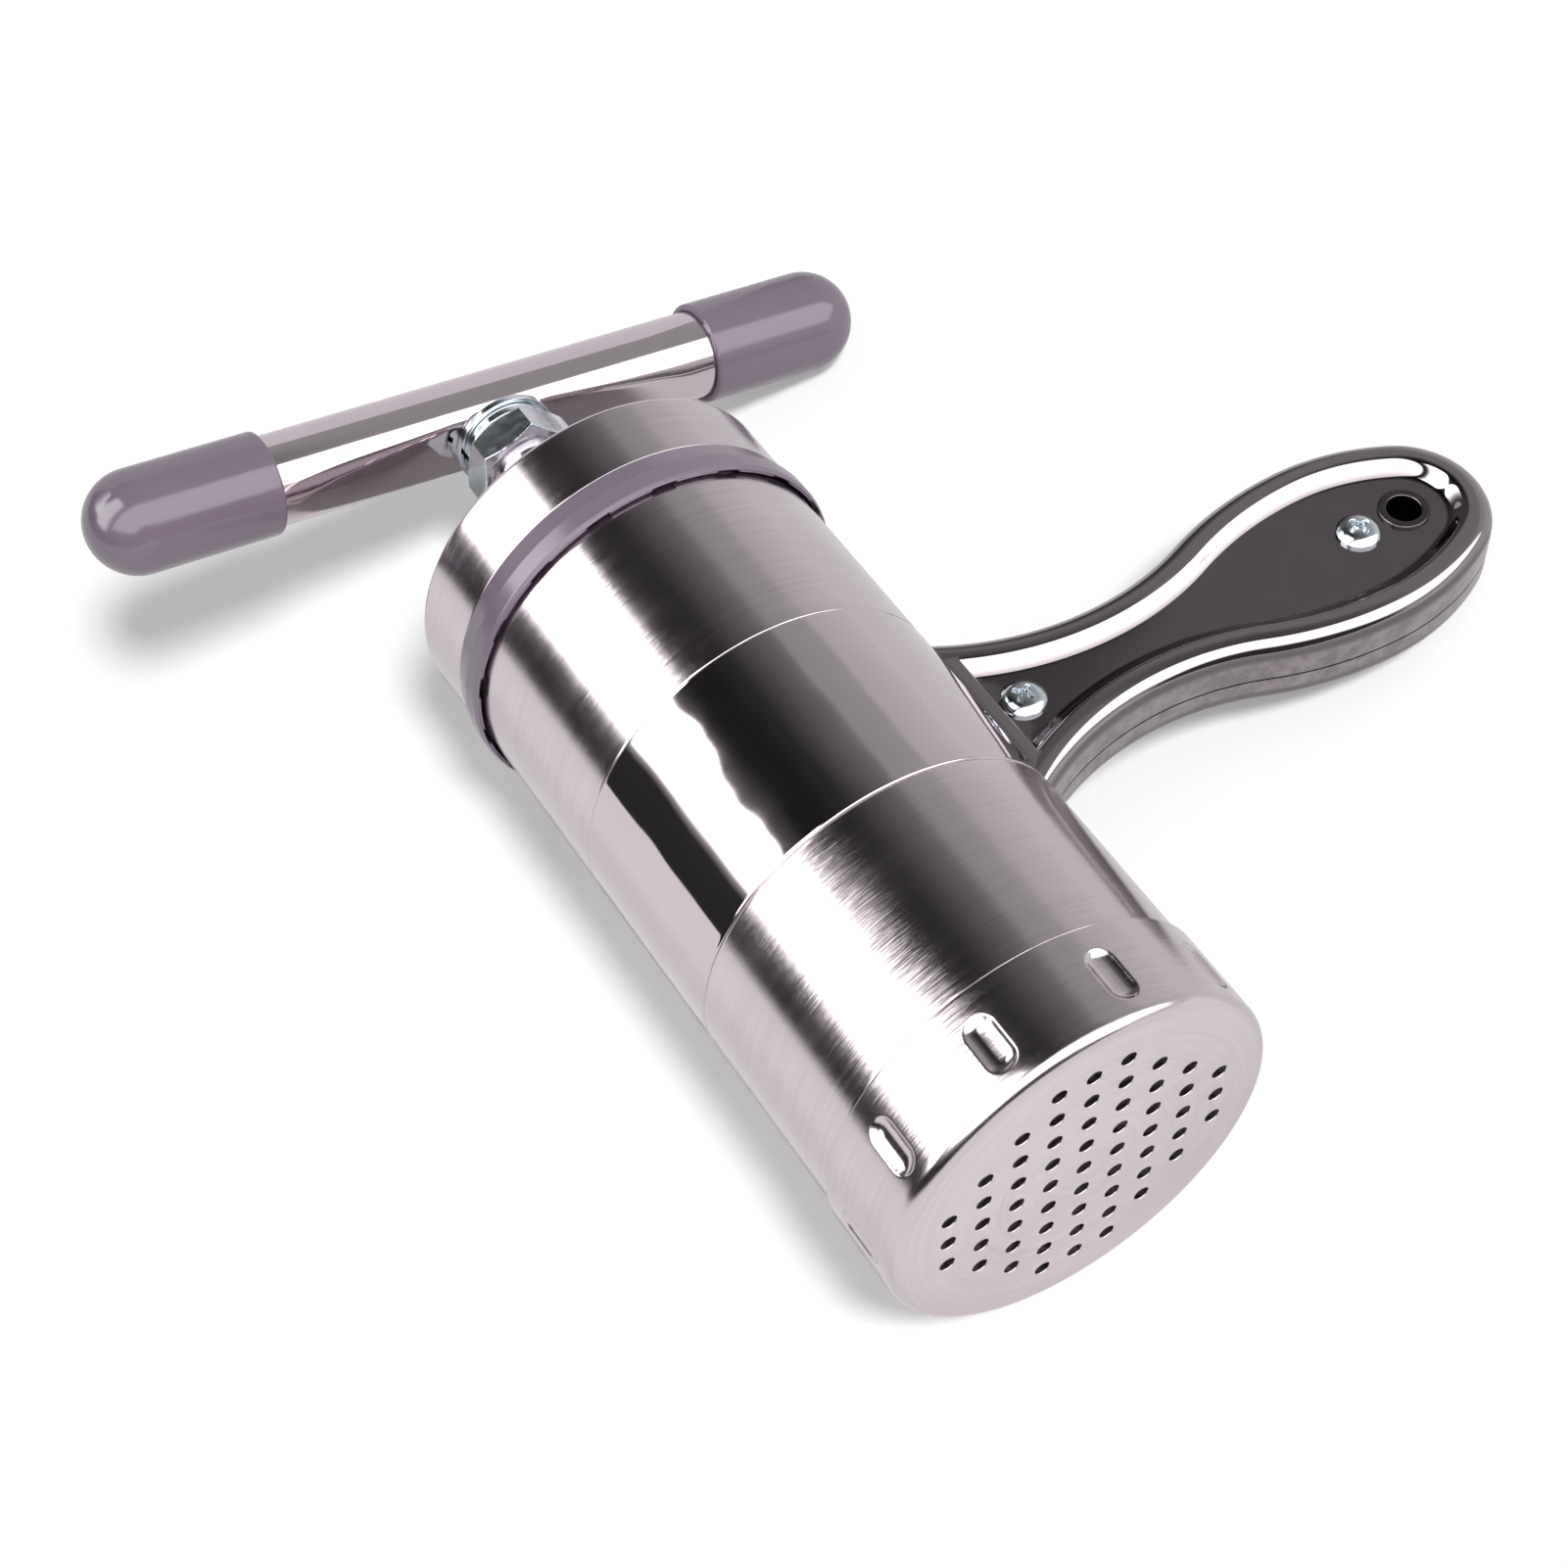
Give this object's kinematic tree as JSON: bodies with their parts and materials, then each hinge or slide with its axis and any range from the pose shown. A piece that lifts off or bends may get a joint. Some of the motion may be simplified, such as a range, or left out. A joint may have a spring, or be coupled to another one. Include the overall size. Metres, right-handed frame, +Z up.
{
  "type": "hand pasta press",
  "caption": "Hand-cranked pasta extruder: a steel barrel with a side handle, a T crank and screw that drive a ram, and a perforated screw-on die cap.",
  "frame": {"origin": "centre of the die face, on the barrel's axis", "axes": "+Y along the barrel's axis from the die towards the crank, +X to the handle's side, +Z up as the press lies on a table on its lid collar and the tip of its handle"},
  "size_m": [0.1844, 0.1757, 0.0626],
  "materials": {
    "brushed_steel": "brushed round the axis",
    "polished_steel": "mirror polished",
    "turned_steel": "fine turned",
    "zinc_hardware": "zinc plated",
    "mauve_plastic": "glossy moulded",
    "white_plastic": "food-grade moulded",
    "silicone_rubber": "smooth moulded"
  },
  "bodies": {
    "barrel": {"barrel_tube": "brushed_steel", "lower_sleeve": "brushed_steel", "handle_band": "polished_steel", "upper_sleeve": "brushed_steel", "handle_saddle": "brushed_steel", "handle_tang": "brushed_steel", "handle_front_shell": "polished_steel", "handle_back_shell": "polished_steel", "handle_posts": "zinc_hardware", "handle_screws": "zinc_hardware", "hanging_eyelet": "polished_steel"},
    "die": {"die_cap": "brushed_steel"},
    "lid": {"lid_shell": "brushed_steel", "lid_collar": "mauve_plastic", "screw_bush": "turned_steel", "bush_washer": "zinc_hardware", "bush_locknut": "zinc_hardware"},
    "ram": {"ram_disc": "white_plastic", "ram_seal": "silicone_rubber", "thrust_washer": "zinc_hardware"},
    "crank": {"screw_rod": "turned_steel", "crank_tube": "polished_steel", "left_grip": "mauve_plastic", "right_grip": "mauve_plastic", "crank_nut": "zinc_hardware", "crank_washer": "zinc_hardware", "spring_washer": "zinc_hardware", "ram_retaining_washer": "zinc_hardware", "ram_screw": "zinc_hardware"}
  },
  "joints": [
    {"name": "lid_lift", "type": "slide", "parent": "barrel", "child": "lid", "axis": [0, 1, 0], "range_m": [0, 0.12]},
    {"name": "ram_travel", "type": "slide", "parent": "lid", "child": "ram", "axis": [0, 1, 0], "range_m": [-0.008, 0.088]},
    {"name": "crank_turn", "type": "hinge", "parent": "ram", "child": "crank", "pos_m": [0, 0.1673, 0], "axis": [0, 1, 0], "range_deg": [-720, 7920]},
    {"name": "die_cap_pull", "type": "slide", "parent": "barrel", "child": "die", "axis": [0, -1, 0], "range_m": [0, 0.03]}
  ],
  "couplings": [
    {"joint": "ram_travel", "follows": "crank_turn", "m_per_rad": 0.00063662}
  ]
}
